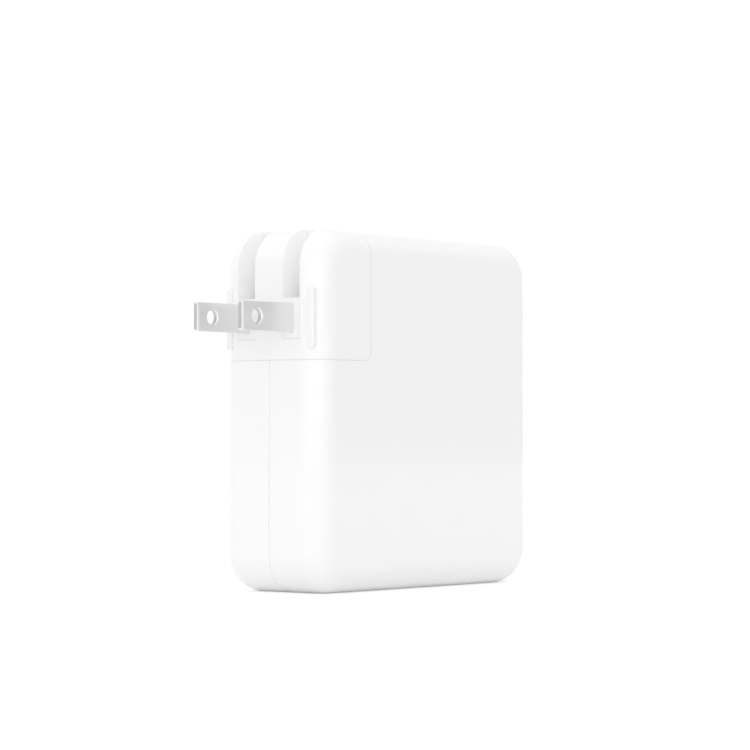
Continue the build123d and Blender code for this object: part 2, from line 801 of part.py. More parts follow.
with BuildPart() as plug_base_cover:
    brick(cover_x, (-cover_half, cover_half), (seam_z, cover_top))
    with BuildSketch(Plane((inlet_x, 0, seam_z))):
        figure_eight(inlet_lobe - boss_gap, inlet_waist - 2 * boss_gap)
    extrude(amount=-boss_length)
    for side in (-1, 1):
        pole_y = side * pin_pitch / 2
        rod_along_z(inlet_x, pole_y, sleeve_outer, (sleeve_bottom, flange_top), Mode.SUBTRACT)
        mouth_z = (seam_z - boss_length - past, sleeve_bottom + past)
        rod_along_z(inlet_x, pole_y, sleeve_mouth, mouth_z, Mode.SUBTRACT)
finish(plug_base_cover, "plug_base_cover")

with BuildPart() as stud_slot_plate:
    brick((seam_x - slot_plate_thickness, seam_x), (-plate_half, plate_half), (seam_z, plate_top))
    stem_slot_x = (seam_x - slot_plate_thickness - past, seam_x + past)
    brick(stem_slot_x, (-stem_slot_half, stem_slot_half), (seam_z - past, stud_z), Mode.SUBTRACT)
    rod_along_x(0, stud_z, stem_slot_half, stem_slot_x, Mode.SUBTRACT)
    add(plug_corner(0), mode=Mode.INTERSECT)
finish(stud_slot_plate, "stud_slot_plate")

for pole, side in (("line", -1), ("neutral", 1)):
    pole_y = side * pin_pitch / 2
    with BuildPart() as contact_sleeve:
        rod_along_z(inlet_x, pole_y, sleeve_outer, (sleeve_bottom, cover_top))
        sleeve_bore = (sleeve_bottom - past, cover_top + past)
        rod_along_z(inlet_x, pole_y, sleeve_mouth, sleeve_bore, Mode.SUBTRACT)
    finish(contact_sleeve, f"contact_sleeve_{pole}")

    strip_y = (side * blade_y - spring_half, side * blade_y + spring_half)
    foot_y = sorted((side * (pin_pitch / 2 - sleeve_outer), side * (blade_y + spring_half)))
    with BuildPart() as contact_spring:
        brick((spring_x[0], inlet_x + sleeve_outer), foot_y, (cover_top, flange_top))
        brick(spring_x, strip_y, (cover_top, spring_top))
    finish(contact_spring, f"contact_spring_{pole}")

detent_y = (-detent_half, detent_half)
detent_foot = 2.0
with BuildPart() as detent_spring:
    brick(detent_x, detent_y, (cover_top, detent_top[0]))
    brick((detent_x[0], detent_x[1] + detent_hook), detent_y, detent_top)
    brick((detent_x[0] - detent_foot, detent_x[1]), detent_y, (cover_top, flange_top))
finish(detent_spring, "detent_spring")

# ---- folding blades -----------------------------------------------------------------------------


def blade_space(y):
    """The spans along X and Y of one blade, from its tip to its root in the hinge block"""
    return (face_x - blade_reach, hinge_x + blade_root), (y - blade_thickness / 2, y + blade_thickness / 2)


blade_span = (blade_z - blade_width / 2, blade_z + blade_width / 2)

with BuildPart() as blade_carrier:
    for side in (-1, 1):
        with BuildSketch(Plane.XZ.offset(-side * blade_y)):
            with Locations((face_x, block_bottom)):
                Rectangle(hinge_radius, block_top - block_bottom, align=(Align.MIN, Align.MIN))
            with Locations((hinge_x, hinge_z)):
                Circle(hinge_radius)
                Rectangle(block_back - hinge_x, block_top - hinge_z, align=(Align.MIN, Align.MIN))
        extrude(amount=block_width / 2, both=True)
    rod_along_y(hinge_x, hinge_z, bar_radius, (-blade_y, blade_y))
    for side in (-1, 1):
        root_x, root_y = blade_space(side * blade_y)
        brick(root_x, root_y, blade_span, Mode.SUBTRACT)
    rod_along_y(hinge_x, hinge_z, axle_radius, (-body_depth, body_depth), Mode.SUBTRACT)
finish(blade_carrier, "blade_carrier")

for pole, side in (("line", -1), ("neutral", 1)):
    reach_x, thick_y = blade_space(side * blade_y)
    with BuildPart() as blade:
        brick(reach_x, thick_y, blade_span)
        tip_face = blade.faces().sort_by(Axis.X)[0]
        tip_edges = tip_face.edges().filter_by(Axis.Z)
        chamfer(tip_edges, blade_bevel_depth, blade_bevel_length, reference=tip_face)
        tip_corners = blade.edges().filter_by(Axis.Y).group_by(Axis.X)[0]
        fillet(tip_corners, blade_tip_radius)
        hole_x = face_x - blade_hole_from_face
        rod_along_y(hole_x, blade_z, blade_hole_radius, (-body_depth, body_depth), Mode.SUBTRACT)
        circles = blade.edges().filter_by(GeomType.CIRCLE)
        rims = circles.filter_by(lambda rim: abs(rim.arc_center.X - hole_x) < blade_hole_rim)
        chamfer(rims, blade_hole_rim)
        rod_along_y(hinge_x, hinge_z, axle_radius, (-body_depth, body_depth), Mode.SUBTRACT)
    finish(blade, f"blade_{pole}")

with BuildPart() as blade_axle:
    axle_end = axle_half - axle_end_gap
    rod_along_y(hinge_x, hinge_z, axle_radius, (-axle_end, axle_end))
    chamfer(blade_axle.edges().filter_by(GeomType.CIRCLE), axle_chamfer)
finish(blade_axle, "blade_axle")
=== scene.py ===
"""Laptop power adapter: finer skins, finishes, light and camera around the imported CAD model.

Metres, in the CAD frame. The origin is the centre of the bottom rest face, +Z is up, the blades point
to -X and the big front face looks to -Y.
"""

import json
import math

import bpy
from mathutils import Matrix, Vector


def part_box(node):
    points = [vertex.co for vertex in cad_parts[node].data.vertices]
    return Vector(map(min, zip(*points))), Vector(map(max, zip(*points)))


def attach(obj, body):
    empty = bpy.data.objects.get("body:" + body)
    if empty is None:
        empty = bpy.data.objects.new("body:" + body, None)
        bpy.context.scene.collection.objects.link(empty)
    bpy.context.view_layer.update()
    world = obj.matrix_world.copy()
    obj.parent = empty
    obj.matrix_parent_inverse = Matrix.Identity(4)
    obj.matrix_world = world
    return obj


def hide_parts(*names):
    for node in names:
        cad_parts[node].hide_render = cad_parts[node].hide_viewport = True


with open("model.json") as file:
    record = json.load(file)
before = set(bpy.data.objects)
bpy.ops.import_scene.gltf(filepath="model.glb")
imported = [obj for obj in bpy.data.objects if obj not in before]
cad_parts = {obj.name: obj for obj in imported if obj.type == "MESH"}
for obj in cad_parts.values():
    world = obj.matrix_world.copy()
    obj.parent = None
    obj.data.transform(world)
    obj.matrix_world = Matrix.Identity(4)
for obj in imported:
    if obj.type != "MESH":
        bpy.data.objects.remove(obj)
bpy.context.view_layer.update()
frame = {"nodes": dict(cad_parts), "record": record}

MM = 0.001

# ---- places read from the frame, and the few driving dimensions of the skins ----------------------

front_low, front_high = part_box("front_shell")
plug_low, plug_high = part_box("plug_housing")
blade_low, blade_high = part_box("blade_line")
other_blade_low, other_blade_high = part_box("blade_neutral")
carrier_low, carrier_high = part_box("blade_carrier")
inlet_low, inlet_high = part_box("ac_inlet_body")
stud_low, stud_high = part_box("locking_stud")
port_low, port_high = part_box("usb_receptacle_shell")
slot_plate_low, slot_plate_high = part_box("stud_slot_plate")
cover_low, cover_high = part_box("plug_base_cover")

HALF_LENGTH = front_high.x
HEIGHT = front_high.z
HALF_DEPTH = -front_low.y
CORNER = 8.7 * MM
EDGE = 5.8 * MM
WALL = 2.0 * MM
SEAM_HALF = 0.09 * MM
SEAM_ROUND = 0.22 * MM
TONGUE_GAP = 0.001 * MM
GAP_BESIDE_PLUG = 0.17 * MM
GAP_UNDER_PLUG = 0.035 * MM
PLUG_CORNER = 2.0 * MM
SEAM_CORNER_STEPS = 12
INLET_FLANGE = 0.88 * MM
PORT_GAP = 0.02 * MM
PORT_STEPS = 16
STUD_HOLE = 1.82 * MM
STUD_GAP = 0.35 * MM
STUD_END_GAP = 0.3 * MM
SEAM_X = plug_high.x
SEAM_Z = plug_low.z
STUD_Z = (stud_low.z + stud_high.z) / 2
FAR = 0.2

CORNER_STEPS = 28
RIM_STEPS = 18
SOFT_STEPS = 4
TURN_STEPS = 64
MIN_RADIUS = 0.01 * MM
MIN_CORNER = 0.2 * MM
EDGE_MARGIN = 0.01 * MM
EDGE_BREAK = 0.12 * MM
OVERCUT = 1.0 * MM
SHARP_ANGLE = 32
BLADE_SHARP_ANGLE = 20
NORMAL_WEIGHT = 60

# ---- mesh helpers ---------------------------------------------------------------------------------


def mesh_object(name, points, faces):
    """A new object from points and faces"""
    mesh = bpy.data.meshes.new(name)
    mesh.from_pydata([tuple(p) for p in points], [], faces)
    mesh.validate()
    piece = bpy.data.objects.new(name, mesh)
    bpy.context.scene.collection.objects.link(piece)
    return piece


def loft(name, rings):
    """A closed solid through rings of equally many points, capped flat at both ends"""
    count = len(rings[0])
    points = [p for ring in rings for p in ring]
    faces = []
    for level in range(len(rings) - 1):
        base = level * count
        for i in range(count):
            j = (i + 1) % count
            faces.append((base + i, base + j, base + count + j, base + count + i))
    faces.append(tuple(reversed(range(count))))
    last = (len(rings) - 1) * count
    faces.append(tuple(range(last, last + count)))
    piece = mesh_object(name, points, faces)
    turn_outwards(piece)
    return piece


def turn_outwards(piece):
    """Flips every face if the solid is inside out"""
    mesh = piece.data
    volume = 0.0
    for polygon in mesh.polygons:
        volume += polygon.center.dot(polygon.normal) * polygon.area
    if volume < 0:
        mesh.flip_normals()


def rounded_rectangle(half_u, half_v, radius, steps=CORNER_STEPS):
    """Points (u, v) round a rectangle with rounded corners, anticlockwise"""
    points = []
    for quarter in range(4):
        sign_u = 1 if quarter in (0, 3) else -1
        sign_v = 1 if quarter in (0, 1) else -1
        for step in range(steps + 1):
            angle = math.pi / 2 * (quarter + step / steps)
            u = sign_u * (half_u - radius) + radius * math.cos(angle)
            v = sign_v * (half_v - radius) + radius * math.sin(angle)
            points.append((u, v))
    return points


def quarter_round(steps):
    """(set in, rise) shares of a radius at each step round a soft edge, from its face to its side"""
    angles = [math.pi / 2 * step / steps for step in range(steps + 1)]
    return [(1 - math.sin(angle), 1 - math.cos(angle)) for angle in angles]


def body_ring(inset, y):
    """The body's outline, set in by an inset, at one value of y"""
    radius = max(CORNER - inset, MIN_CORNER)
    outline = rounded_rectangle(HALF_LENGTH - inset, HEIGHT / 2 - inset, radius)
    return [(u, y, v + HEIGHT / 2) for u, v in outline]


def rim_profile(inset, side):
    """(inset, y) down one rounded rim, from the big face to the start of the narrow side"""
    radius = EDGE - inset
    profile = []
    for set_in, rise in quarter_round(RIM_STEPS):
        depth = HALF_DEPTH - inset - radius * rise
        profile.append((inset + radius * set_in, side * depth))
    return profile


def half_form(name, side, inset, seam_profile):
    """One half of the body's form, from its big face to the profile at the seam"""
    profile = rim_profile(inset, side) + seam_profile
    return loft(name, [body_ring(set_in, y) for set_in, y in profile])


AXES = {
    "xz": lambda u, v, w: (u, w, v),
    "yz": lambda u, v, w: (w, u, v),
    "xy": lambda u, v, w: (u, v, w),
}


def stack(name, plane, layers):
    """A closed solid through (outline, place) layers, with each outline in the plane 'xz', 'yz' or 'xy'"""
    place = AXES[plane]
    return loft(name, [[place(u, v, w) for u, v in outline] for outline, w in layers])


def prism(name, outline, plane, low, high):
    """A closed prism from low to high across the outline's plane"""
    return stack(name, plane, [(outline, low), (outline, high)])


def soft_prism(name, plane, outline_at, low, high, rounding):
    """A prism with rounded end edges, where outline_at gives the outline set in by a distance"""
    near = []
    far = []
    for set_in, rise in quarter_round(SOFT_STEPS):
        outline = outline_at(rounding * set_in)
        near.append((outline, low + rounding * rise))
        far.append((outline, high - rounding * rise))
    return stack(name, plane, near + list(reversed(far)))


def block(name, low, high):
    """A plain cutter between two corners"""
    outline = [(low[0], low[2]), (high[0], low[2]), (high[0], high[2]), (low[0], high[2])]
    return prism(name, outline, "xz", low[1], high[1])


def disc_outline(u, v, radius, steps=TURN_STEPS):
    """Points round a circle"""
    turn = 2 * math.pi / steps
    return [(u + radius * math.cos(turn * i), v + radius * math.sin(turn * i)) for i in range(steps)]


def turned(name, plane, centre, profile):
    """A solid of revolution about a line through centre, from (place, radius) pairs along the line"""
    return stack(name, plane, [(disc_outline(*centre, radius), w) for w, radius in profile])


def moved(outline, u, v):
    """The outline moved within its plane"""
    return [(point_u + u, point_v + v) for point_u, point_v in outline]


def arc_outline(u, v, radius, start, end, steps):
    """Points along an arc round a centre, from a start angle to an end angle"""
    angles = [start + (end - start) * step / steps for step in range(steps + 1)]
    return [(u + radius * math.cos(angle), v + radius * math.sin(angle)) for angle in angles]


def box_outline(low_u, high_u, low_v, high_v, radius, inset):
    """A rectangle with rounded corners, given by its sides and set in by a distance"""
    half_u = (high_u - low_u) / 2 - inset
    half_v = (high_v - low_v) / 2 - inset
    outline = rounded_rectangle(half_u, half_v, max(radius - inset, MIN_RADIUS), SOFT_STEPS)
    return moved(outline, (low_u + high_u) / 2, (low_v + high_v) / 2)


def bake(piece):
    """Applies the piece's modifiers to its mesh"""
    graph = bpy.context.evaluated_depsgraph_get()
    mesh = bpy.data.meshes.new_from_object(piece.evaluated_get(graph))
    piece.modifiers.clear()
    piece.data = mesh


def combine(piece, tools, operation="DIFFERENCE"):
    """Cuts each tool from the piece, or joins or intersects it, and deletes the tools"""
    for tool in tools:
        step = piece.modifiers.new("combine", "BOOLEAN")
        step.operation = operation
        step.solver = "EXACT"
        step.object = tool
        bake(piece)
        bpy.data.objects.remove(tool)


def shade(piece, angle=SHARP_ANGLE):
    """Smooth shading with crisp edges, and flat faces kept flat by weighting normals by area"""
    mesh = piece.data
    mesh.polygons.foreach_set("use_smooth", [True] * len(mesh.polygons))
    mesh.set_sharp_from_angle(angle=math.radians(angle))
    weighted = piece.modifiers.new("normals", "WEIGHTED_NORMAL")
    weighted.mode = "FACE_AREA"
    weighted.weight = NORMAL_WEIGHT
    weighted.keep_sharp = True
    bake(piece)


def dress(piece, node, body, material):
    """The piece stands for a CAD node: it rides on the node's body and takes its slot and material"""
    piece.data.materials.clear()
    piece.data.materials.append(material)
    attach(piece, body)
    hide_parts(node)


# ---- materials ------------------------------------------------------------------------------------


def new_material(name):
    """An empty node material; returns it with its nodes, links and principled shader"""
    material = bpy.data.materials.new(name)
    material.use_nodes = True
    tree = material.node_tree
    return material, tree.nodes, tree.links, tree.nodes["Principled BSDF"]


NOISE_LOW = 0.3
NOISE_HIGH = 0.7
CLOUD_SHARE = 0.25
CLOUD_DETAIL = 2.0
FINE_DETAIL = 4.0
RELIEF_DEPTH = 0.02 * MM
BEVEL_SAMPLES = 6
FINE_EDGE = 0.08 * MM
EVEN = (1, 1, 1)


def ramp(nodes, low, high):
    """A colour ramp between two colours"""
    node = nodes.new("ShaderNodeValToRGB")
    start, end = node.color_ramp.elements
    start.position = NOISE_LOW
    end.position = NOISE_HIGH
    start.color = (*low, 1)
    end.color = (*high, 1)
    return node


def noise(nodes, links, scale, detail, stretch):
    """Noise in the object's own space, stretched along the axes if asked"""
    coordinates = nodes.new("ShaderNodeTexCoord")
    mapping = nodes.new("ShaderNodeMapping")
    mapping.inputs["Scale"].default_value = stretch
    texture = nodes.new("ShaderNodeTexNoise")
    texture.inputs["Scale"].default_value = scale
    texture.inputs["Detail"].default_value = detail
    links.new(coordinates.outputs["Object"], mapping.inputs["Vector"])
    links.new(mapping.outputs["Vector"], texture.inputs["Vector"])
    return texture


def spread(nodes, links, source, low, high):
    """The middle of the noise's values mapped onto a range of values"""
    node = nodes.new("ShaderNodeMapRange")
    node.inputs["From Min"].default_value = NOISE_LOW
    node.inputs["From Max"].default_value = NOISE_HIGH
    node.inputs["To Min"].default_value = low
    node.inputs["To Max"].default_value = high
    links.new(source.outputs[0], node.inputs["Value"])
    return node


def surface(name, low, high, roughness, grain, bump, stretch=EVEN, metallic=0.0, rounding=0.0):
    """A procedural finish: two close colours, a roughness that varies, and a fine relief"""
    material, nodes, links, shader = new_material(name)
    cloud = noise(nodes, links, grain * CLOUD_SHARE, CLOUD_DETAIL, stretch)
    tint = ramp(nodes, low, high)
    links.new(cloud.outputs[0], tint.inputs["Fac"])
    links.new(tint.outputs["Color"], shader.inputs["Base Color"])
    fine = noise(nodes, links, grain, FINE_DETAIL, stretch)
    rough = spread(nodes, links, fine, roughness[0], roughness[1])
    links.new(rough.outputs["Result"], shader.inputs["Roughness"])
    relief = nodes.new("ShaderNodeBump")
    relief.inputs["Strength"].default_value = bump
    relief.inputs["Distance"].default_value = RELIEF_DEPTH
    links.new(fine.outputs[0], relief.inputs["Height"])
    if rounding:
        edge = nodes.new("ShaderNodeBevel")
        edge.samples = BEVEL_SAMPLES
        edge.inputs["Radius"].default_value = rounding
        links.new(edge.outputs["Normal"], relief.inputs["Normal"])
    links.new(relief.outputs["Normal"], shader.inputs["Normal"])
    shader.inputs["Metallic"].default_value = metallic
    return material


PLASTIC_LOW = (0.990, 0.991, 0.995)
PLASTIC_HIGH = (0.997, 0.997, 1.0)
PLASTIC_GRAIN = 420.0
PLASTIC_RELIEF = 0.01
PLASTIC_FINISH = {
    "Subsurface Weight": 0.1,
    "Subsurface Radius": (1.0, 0.95, 0.9),
    "Subsurface Scale": 0.3 * MM,
    "IOR": 1.5,
    "Coat Weight": 0.25,
    "Coat Roughness": 0.04,
}


def white_plastic(name, tone, roughness):
    """Glossy white moulding: nearly even colour, a little light let in, and a faint moulded ripple"""
    low = [tone * share for share in PLASTIC_LOW]
    high = [tone * share for share in PLASTIC_HIGH]
    material = surface(name, low, high, roughness, PLASTIC_GRAIN, PLASTIC_RELIEF, rounding=FINE_EDGE)
    shader = material.node_tree.nodes["Principled BSDF"]
    for socket, value in PLASTIC_FINISH.items():
        shader.inputs[socket].default_value = value
    return material


# each finish has a name, two close colours, a range of roughness, a grain and a relief; a metal also has
# the stretch of its grain, smallest along the line it was brushed or drawn in, and a metallic value of 1
shell_white = white_plastic("shell_white", 0.98, (0.07, 0.11))
# a lighter copy of the shell plastic for the groove walls: painted light that lifts the shade inside the
# grooves
groove_painted_light = white_plastic("groove_painted_light", 0.995, (0.12, 0.18))
insert_white = white_plastic("insert_white", 0.93, (0.22, 0.30))
hinge_white = white_plastic("hinge_white", 0.98, (0.10, 0.15))
nickel = surface(
    "satin_nickel",
    (0.83, 0.83, 0.84),
    (0.86, 0.86, 0.865),
    (0.31, 0.36),
    900.0,
    0.04,
    (0.06, 1, 1),
    1.0,
    FINE_EDGE,
)
# a darker nickel for the blade tip's end face and the hole walls: its darker colour is painted shade
painted_shade_nickel = surface(
    "painted_shade_nickel", (0.52, 0.52, 0.53), (0.62, 0.62, 0.63), (0.34, 0.44), 1400.0, 0.1, (1, 1, 0.2), 1.0
)
contact_nickel = surface(
    "contact_nickel", (0.62, 0.61, 0.58), (0.70, 0.69, 0.66), (0.22, 0.34), 900.0, 0.12, (1, 1, 0.08), 1.0
)
steel = surface(
    "stamped_steel", (0.55, 0.55, 0.56), (0.64, 0.64, 0.65), (0.24, 0.38), 800.0, 0.15, (1, 0.1, 1), 1.0
)
gold = surface(
    "gold_plate", (0.78, 0.58, 0.26), (0.86, 0.67, 0.34), (0.18, 0.28), 1200.0, 0.08, EVEN, 1.0
)
aluminium = surface(
    "sheet_aluminium", (0.70, 0.71, 0.72), (0.78, 0.79, 0.80), (0.32, 0.46), 500.0, 0.2, (0.1, 1, 1), 1.0
)
copper = surface(
    "enamelled_copper", (0.55, 0.24, 0.10), (0.72, 0.36, 0.17), (0.25, 0.4), 700.0, 0.5, (1, 0.1, 1), 1.0
)
black_plastic = surface(
    "tongue_black", (0.035, 0.035, 0.04), (0.055, 0.055, 0.06), (0.35, 0.5), 900.0, 0.2
)
board_green = surface("solder_mask", (0.03, 0.14, 0.07), (0.05, 0.20, 0.10), (0.3, 0.45), 700.0, 0.2)
lead_sleeve = surface("lead_sleeve", (0.42, 0.07, 0.05), (0.55, 0.10, 0.07), (0.4, 0.55), 800.0, 0.2)
package_black = surface(
    "moulded_package", (0.04, 0.04, 0.045), (0.065, 0.065, 0.07), (0.5, 0.7), 1500.0, 0.4
)
ferrite_grey = surface("ferrite", (0.10, 0.10, 0.10), (0.16, 0.155, 0.15), (0.5, 0.7), 1400.0, 0.5)
bobbin_cream = surface("bobbin", (0.72, 0.68, 0.54), (0.80, 0.76, 0.62), (0.45, 0.6), 700.0, 0.2)
film_blue = surface("dipped_film", (0.08, 0.20, 0.45), (0.13, 0.28, 0.56), (0.3, 0.5), 500.0, 0.4)
can_grey = surface("capacitor_can", (0.18, 0.20, 0.23), (0.26, 0.28, 0.32), (0.35, 0.5), 500.0, 0.2)
film_sheet = surface("insulating_film", (0.80, 0.76, 0.55), (0.86, 0.82, 0.62), (0.3, 0.42), 400.0, 0.2)
pad_grey = surface("thermal_pad", (0.42, 0.50, 0.54), (0.52, 0.60, 0.64), (0.7, 0.85), 900.0, 0.5)

slot_finish = {
    "shell_plastic": shell_white,
    "inner_plastic": insert_white,
    "carrier_plastic": hinge_white,
    "blade_metal": nickel,
    "contact_metal": contact_nickel,
    "gold_contacts": gold,
    "steel": steel,
    "black_plastic": black_plastic,
    "board": board_green,
    "wire_sleeve": lead_sleeve,
    "component_dark": package_black,
    "ferrite": ferrite_grey,
    "winding": copper,
    "component_light": bobbin_cream,
    "capacitor_film": film_blue,
    "capacitor_can": can_grey,
    "aluminium": aluminium,
    "sheet": film_sheet,
    "pad": pad_grey,
}

for subpart in frame["record"]["subparts"]:
    node_object = frame["nodes"][subpart["node"]]
    node_object.data.materials.clear()
    node_object.data.materials.append(slot_finish[subpart["material_slot"]])

# ---- skins of the two shells ----------------------------------------------------------------------


def plug_cutter(name, beside, under):
    """A solid that fills the plug's corner across the depth, grown by a gap on each inner side"""
    radius = PLUG_CORNER + beside
    right = SEAM_X + beside
    low = SEAM_Z - under
    outline = [(-FAR, FAR), (-FAR, low)]
    outline += arc_outline(right - radius, low + radius, radius, -math.pi / 2, 0, SEAM_CORNER_STEPS)
    outline.append((right, FAR))
    return prism(name, outline, "xz", -FAR, FAR)


def seam_edge(side):
    """(inset, y) round the fine edge of a half shell where it meets the other at the seam"""
    profile = []
    for set_in, rise in quarter_round(SOFT_STEPS):
        profile.append((SEAM_ROUND * rise, side * (SEAM_HALF + SEAM_ROUND * set_in)))
    return profile


def port_outline(grow):
    """The receptacle's slot in the YZ plane, grown by a gap"""
    half_y = (port_high.y - port_low.y) / 2 + grow
    half_z = (port_high.z - port_low.z) / 2 + grow
    outline = rounded_rectangle(half_y, half_z, half_y - EDGE_MARGIN, PORT_STEPS)
    return moved(outline, 0, (port_low.z + port_high.z) / 2)


def shell_skin(name, node, side):
    """One half shell: outer form, less the plug's corner, the cavity and the openings"""
    skin = half_form(name, side, 0, seam_edge(side) + [(SEAM_ROUND, side * TONGUE_GAP)])
    cavity = half_form("cavity", side, WALL, [(WALL, -side * OVERCUT)])
    combine(cavity, [plug_cutter("recess", WALL, WALL)])
    opening = prism("opening", port_outline(PORT_GAP), "yz", HALF_LENGTH - 2 * WALL, FAR)
    inlet_way = block(
        "inlet_way",
        (inlet_low.x + INLET_FLANGE, inlet_low.y + INLET_FLANGE, inlet_low.z),
        (inlet_high.x - INLET_FLANGE, inlet_high.y - INLET_FLANGE, FAR),
    )
    stud_hole = prism(
        "stud_hole", disc_outline(0, STUD_Z, STUD_HOLE), "yz", SEAM_X - OVERCUT, SEAM_X + 2 * WALL
    )
    recess = plug_cutter("recess", GAP_BESIDE_PLUG, GAP_UNDER_PLUG)
    combine(skin, [recess, cavity, opening, inlet_way, stud_hole])
    shade(skin)
    dress(skin, node, "housing", shell_white)


shell_skin("front_shell_skin", "front_shell", -1)
shell_skin("rear_shell_skin", "rear_shell", 1)

# ---- skin of the corner plug ----------------------------------------------------------------------

HINGE_RADIUS = 3.5 * MM
BLOCK_GAP = 0.035 * MM
GROOVE_DEPTH = 8.6 * MM
SWING_GAP = 0.2 * MM
SWING_STEPS = 32
RIB_HALF_SPREAD = 11.6 * MM
RIB_WIDTH = 1.7 * MM
RIB_LENGTH = 13.6 * MM
RIB_CORNER = 0.6 * MM
RIB_ROUNDING = 0.3 * MM
RIB_STEPS = 12
RIB_CREST_STEPS = 6
RIB_ROOT = 4.0 * MM

hinge_x = -HALF_LENGTH + HINGE_RADIUS
hinge_z = carrier_low.z + HINGE_RADIUS
blade_z = (blade_low.z + blade_high.z) / 2
blade_y = (other_blade_low.y + other_blade_high.y) / 2
block_width = carrier_high.y - carrier_low.y - 2 * blade_y
swing_radius = math.hypot(carrier_high.z - hinge_z, HINGE_RADIUS) + SWING_GAP


def groove_cutter(side):
    """The blade's groove, open at the front and top, with the round pocket that the hinge block swings in"""
    half = block_width / 2 + BLOCK_GAP
    floor = carrier_low.z - BLOCK_GAP
    back_x = -HALF_LENGTH + GROOVE_DEPTH
    start = math.asin((floor - hinge_z) / swing_radius)
    end = math.acos((back_x - hinge_x) / swing_radius)
    outline = [(-FAR, floor)]
    outline += arc_outline(hinge_x, hinge_z, swing_radius, start, end, SWING_STEPS)
    outline += [(back_x, FAR), (-FAR, FAR)]
    return prism("groove", outline, "xz", side * blade_y - half, side * blade_y + half)


def standoff_rib(side):
    """A long bead that fills the rounding out to the flat of the face, with a rounded crest"""
    rings = []
    for set_in, rise in quarter_round(RIB_CREST_STEPS):
        inset = RIB_ROUNDING * set_in
        x = -HALF_LENGTH + RIB_ROUNDING * rise
        half_width = RIB_WIDTH / 2 - inset
        half_length = RIB_LENGTH / 2 - inset
        outline = rounded_rectangle(half_width, half_length, RIB_CORNER - inset, RIB_STEPS)
        rings.append([(x, side * RIB_HALF_SPREAD + u, blade_z + v) for u, v in outline])
    root = [(-HALF_LENGTH + RIB_ROOT, y, z) for _, y, z in rings[-1]]
    return loft("rib", rings + [root])


def keyhole(name, half_width, low_x, high_x):
    """A cutter for the stud: a slot from below the plug, with a round end on the stud's line"""
    low = SEAM_Z - 2 * OVERCUT
    outline = [(-half_width, low), (half_width, low)]
    outline += disc_outline(0, STUD_Z, half_width)[:TURN_STEPS // 2 + 1]
    return prism(name, outline, "yz", low_x, high_x)


def plug_skin():
    """The corner plug's shell with its ribs, grooves, rooms and stud channel"""
    profile = rim_profile(0, -1) + list(reversed(rim_profile(0, 1)))
    skin = loft("plug_housing_skin", [body_ring(inset, y) for inset, y in profile])
    combine(skin, [plug_cutter("corner", 0, 0)], "INTERSECT")
    combine(skin, [standoff_rib(side) for side in (-1, 1)], "UNION")
    combine(skin, [groove_cutter(side) for side in (-1, 1)])
    cover_room = block(
        "cover_room",
        (cover_low.x, cover_low.y, SEAM_Z - OVERCUT),
        (cover_high.x, cover_high.y, cover_high.z),
    )
    stud_room = (stud_high.z - stud_low.z) / 2 + STUD_GAP
    channel = keyhole("channel", stud_room, stud_low.x - STUD_END_GAP, SEAM_X + OVERCUT)
    plate_seat = block(
        "plate_seat",
        (slot_plate_low.x, slot_plate_low.y, SEAM_Z - OVERCUT),
        (SEAM_X + OVERCUT, slot_plate_high.y, slot_plate_high.z),
    )
    combine(skin, [cover_room, channel, plate_seat])
    shade(skin)
    dress(skin, "plug_housing", "plug_module", shell_white)
    # the groove walls take the lighter plastic: painted light against the shade inside the grooves
    skin.data.materials.append(groove_painted_light)
    half_groove = block_width / 2 + BLOCK_GAP + EDGE_MARGIN
    groove_floor = carrier_low.z - BLOCK_GAP - EDGE_MARGIN
    for polygon in skin.data.polygons:
        off_middle = abs(abs(polygon.center.y) - blade_y)
        if off_middle < half_groove and polygon.center.z > groove_floor:
            polygon.material_index = 1


plug_skin()

# ---- skins of the hinge blocks and the blades ------------------------------------------------------


BAR_RADIUS = 2.6 * MM
BLOCK_BACK = 1.5 * MM
DRUM_STEPS = 32


def carrier_skin():
    """The moulded hinge drum: a bar with two blocks whose faces lie flush with the plug's face"""
    skin = prism("blade_carrier_skin", disc_outline(hinge_x, hinge_z, BAR_RADIUS), "xz", -blade_y, blade_y)
    block_outline = [(-HALF_LENGTH, carrier_high.z), (-HALF_LENGTH, carrier_low.z)]
    top_turn = math.acos(BLOCK_BACK / HINGE_RADIUS)
    block_outline += arc_outline(hinge_x, hinge_z, HINGE_RADIUS, -math.pi / 2, top_turn, DRUM_STEPS)
    block_outline.append((hinge_x + BLOCK_BACK, carrier_high.z))
    for side in (-1, 1):
        low_y = side * blade_y - block_width / 2
        high_y = side * blade_y + block_width / 2
        combine(skin, [prism("hinge_block", block_outline, "xz", low_y, high_y)], "UNION")
    shade(skin)
    dress(skin, "blade_carrier", "blade_assembly", hinge_white)


BLADE_TIP = 0.5 * MM
TIP_STEPS = 8
BEVEL_LENGTH = 0.7 * MM
BEVEL_DEPTH = 0.32 * MM
HOLE_RADIUS = 1.6 * MM
HOLE_RIM = 0.3 * MM
HOLE_FROM_TIP = 4.9 * MM


